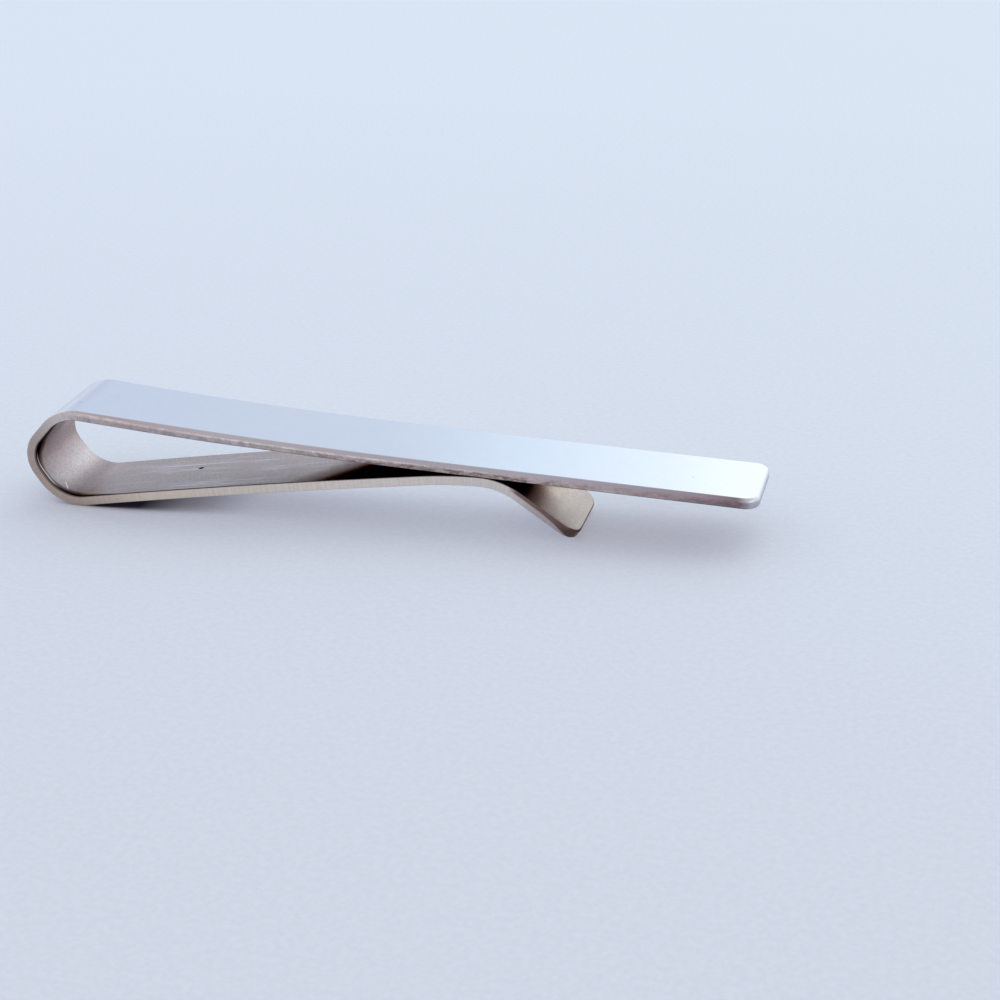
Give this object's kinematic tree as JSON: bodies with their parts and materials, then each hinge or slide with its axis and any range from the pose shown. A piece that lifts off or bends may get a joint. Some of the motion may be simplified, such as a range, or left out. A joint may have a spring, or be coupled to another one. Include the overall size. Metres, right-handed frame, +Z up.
{
  "type": "tie clip",
  "caption": "Slide tie clip bent from a flat strip: polished front bar with rounded corners, teardrop spring bow, and a back arm with a grip crest and a flared lead-in lip.",
  "frame": {"origin": "centre of the bounding box's bottom, on the surface that the clip lies on with its back down", "axes": "+X along the clip from the closed end to the free end, +Y across the strip, +Z up from the back arm to the front bar"},
  "size_m": [0.0504, 0.006, 0.0071],
  "materials": {
    "polished_metal": "mirror polished on the outer face, with softened long edges",
    "satin_metal": "satin with a fine grain along the strip, and light wear scratches inside"
  },
  "bodies": {
    "back": {"spring_bow": "satin_metal", "back_arm": "satin_metal", "grip_crest": "satin_metal", "lead_in_lip": "satin_metal"},
    "front": {"front_bar": "polished_metal"}
  },
  "joints": [
    {"name": "jaw_flex", "type": "hinge", "parent": "back", "child": "front", "pos_m": [-0.0234, 0, 0.00354], "axis": [0, -1, 0], "range_deg": [0, 7], "stiffness_Nm_per_rad": 0.55, "springref_deg": -1.15, "deforming": ["spring_bow"]}
  ]
}
